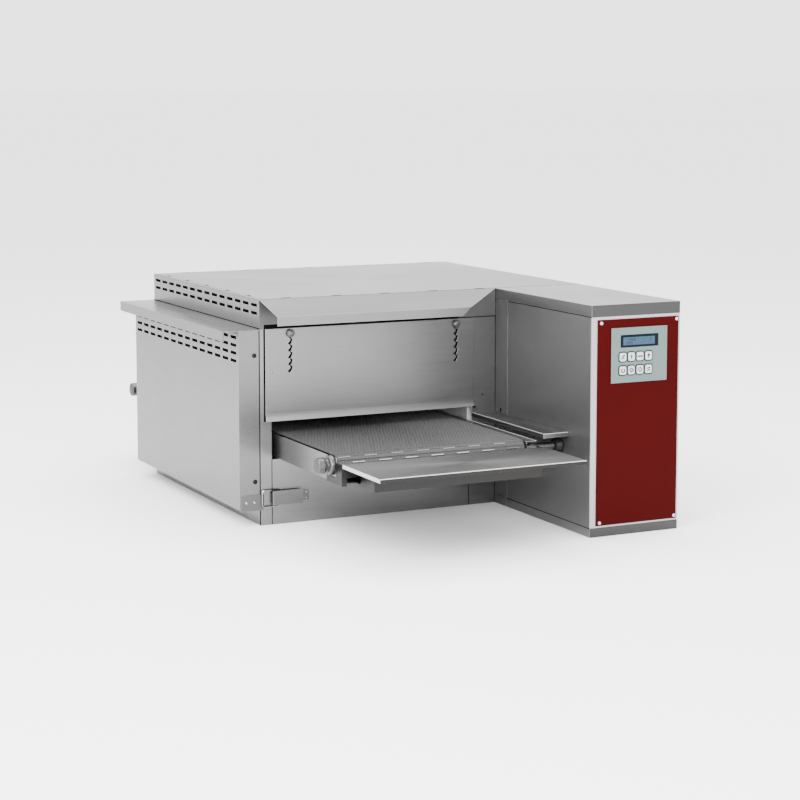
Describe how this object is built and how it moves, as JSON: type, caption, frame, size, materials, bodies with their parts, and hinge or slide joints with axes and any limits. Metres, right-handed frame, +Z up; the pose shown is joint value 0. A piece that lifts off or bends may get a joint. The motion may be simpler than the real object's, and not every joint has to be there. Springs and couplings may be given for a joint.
{
  "type": "conveyor pizza oven",
  "caption": "Countertop tunnel oven: stainless baking body with a mesh belt through it, sliding mouth doors, exit shelf and a side control box.",
  "frame": {"origin": "centre of the bounding box at the surface the oven stands on", "axes": "+Z up; +Y along the conveyor, away from the exit shelf; +X to the control box"},
  "size_m": [0.806, 1.308, 0.45],
  "materials": {
    "stainless": "brushed stainless sheet",
    "dull_steel": "machined, dull",
    "belt_steel": "woven steel mesh",
    "heater_sheath": "heat-darkened sheath",
    "insulation": "ceramic wool",
    "red_panel": "satin printed panel",
    "keypad": "matt membrane plate",
    "button_white": "matt keys",
    "display": "liquid crystal window",
    "black_plastic": "moulded black",
    "circuit_board": "lacquered laminate"
  },
  "bodies": {
    "root": {"base_pan": "stainless", "left_side_panel": "stainless", "right_side_panel": "stainless", "front_frame": "stainless", "rear_frame": "stainless", "front_lower_panel": "stainless", "rear_lower_panel": "stainless", "upper_casing": "stainless", "top_cover": "stainless", "side_ledge": "stainless", "left_side_cover": "stainless", "front_hood": "stainless", "chamber_liner": "dull_steel", "insulation_jacket": "insulation", "upper_heater": "heater_sheath", "lower_heater": "heater_sheath", "conveyor_rail_left": "stainless", "conveyor_rail_right": "stainless", "cross_rod_front": "stainless", "cross_rod_rear": "stainless", "bearing_front_left": "dull_steel", "bearing_rear_left": "dull_steel", "mesh_belt": "belt_steel", "shelf_bracket": "stainless", "bridge_cover": "stainless", "door_screw_left": "stainless", "door_screw_right": "stainless", "latch_strike": "stainless", "latch_base": "stainless", "control_shell": "stainless", "control_side_panel": "stainless", "control_corner_strip": "stainless", "control_plinth": "stainless", "control_lid": "stainless", "gearmotor": "dull_steel", "cable_gland": "black_plastic", "fan_frame": "black_plastic", "red_fascia": "red_panel", "keypad_plate": "keypad", "display_module": "display", "circuit_board": "circuit_board"},
    "drive_roller": {"drive_roller": "dull_steel", "drive_coupling": "black_plastic"},
    "idler_roller": {"idler_roller": "dull_steel"},
    "front_shelf": {"front_shelf": "stainless"},
    "crumb_tray_front": {"crumb_tray_front": "stainless"},
    "crumb_tray_rear": {"crumb_tray_rear": "stainless"},
    "front_door": {"front_door": "stainless"},
    "rear_door": {"rear_door": "stainless"},
    "latch_lever": {"latch_lever": "stainless"},
    "latch_bail": {"latch_bail": "stainless"},
    "fan_rotor": {"fan_rotor": "black_plastic"},
    "button_1": {"button_1": "button_white"},
    "button_2": {"button_2": "button_white"},
    "button_3": {"button_3": "button_white"},
    "button_4": {"button_4": "button_white"},
    "button_5": {"button_5": "button_white"},
    "button_6": {"button_6": "button_white"},
    "button_7": {"button_7": "button_white"},
    "button_8": {"button_8": "button_white"}
  },
  "joints": [
    {"name": "drive_roller_spin", "type": "hinge", "parent": "root", "child": "drive_roller", "pos_m": [-0.0855, -0.442, 0.164], "axis": [1, 0, 0], "continuous": true},
    {"name": "idler_roller_spin", "type": "hinge", "parent": "root", "child": "idler_roller", "pos_m": [-0.0855, 0.629, 0.164], "axis": [1, 0, 0], "continuous": true},
    {"name": "fan_spin", "type": "hinge", "parent": "root", "child": "fan_rotor", "pos_m": [0.303, 0.4284, 0.3375], "axis": [0, 1, 0], "continuous": true},
    {"name": "front_shelf_tilt", "type": "hinge", "parent": "root", "child": "front_shelf", "pos_m": [-0.076, -0.4935, 0.173], "axis": [-1, 0, 0], "range_deg": [0, 70]},
    {"name": "front_tray_slide", "type": "slide", "parent": "root", "child": "crumb_tray_front", "axis": [0, -1, 0], "range_m": [0, 0.3]},
    {"name": "rear_tray_slide", "type": "slide", "parent": "root", "child": "crumb_tray_rear", "axis": [0, 1, 0], "range_m": [0, 0.15]},
    {"name": "front_door_slide", "type": "slide", "parent": "root", "child": "front_door", "axis": [0, 0, 1], "range_m": [0, 0.05]},
    {"name": "rear_door_slide", "type": "slide", "parent": "root", "child": "rear_door", "axis": [0, 0, 1], "range_m": [0, 0.05]},
    {"name": "latch_lever_hinge", "type": "hinge", "parent": "root", "child": "latch_lever", "pos_m": [-0.296, -0.1835, 0.0545], "axis": [0, 0, -1], "range_deg": [0, 75]},
    {"name": "latch_bail_hinge", "type": "hinge", "parent": "latch_lever", "child": "latch_bail", "pos_m": [-0.283, -0.182, 0.0545], "axis": [0, 0, -1], "range_deg": [-75, 0]},
    {"name": "button_1_press", "type": "slide", "parent": "root", "child": "button_1", "axis": [0, 1, 0], "range_m": [0, 0.0015], "stiffness_N_per_m": 400},
    {"name": "button_2_press", "type": "slide", "parent": "root", "child": "button_2", "axis": [0, 1, 0], "range_m": [0, 0.0015], "stiffness_N_per_m": 400},
    {"name": "button_3_press", "type": "slide", "parent": "root", "child": "button_3", "axis": [0, 1, 0], "range_m": [0, 0.0015], "stiffness_N_per_m": 400},
    {"name": "button_4_press", "type": "slide", "parent": "root", "child": "button_4", "axis": [0, 1, 0], "range_m": [0, 0.0015], "stiffness_N_per_m": 400},
    {"name": "button_5_press", "type": "slide", "parent": "root", "child": "button_5", "axis": [0, 1, 0], "range_m": [0, 0.0015], "stiffness_N_per_m": 400},
    {"name": "button_6_press", "type": "slide", "parent": "root", "child": "button_6", "axis": [0, 1, 0], "range_m": [0, 0.0015], "stiffness_N_per_m": 400},
    {"name": "button_7_press", "type": "slide", "parent": "root", "child": "button_7", "axis": [0, 1, 0], "range_m": [0, 0.0015], "stiffness_N_per_m": 400},
    {"name": "button_8_press", "type": "slide", "parent": "root", "child": "button_8", "axis": [0, 1, 0], "range_m": [0, 0.0015], "stiffness_N_per_m": 400}
  ],
  "couplings": [
    {"joint": "idler_roller_spin", "follows": "drive_roller_spin", "ratio": 1},
    {"joint": "latch_bail_hinge", "follows": "latch_lever_hinge", "ratio": -1}
  ]
}
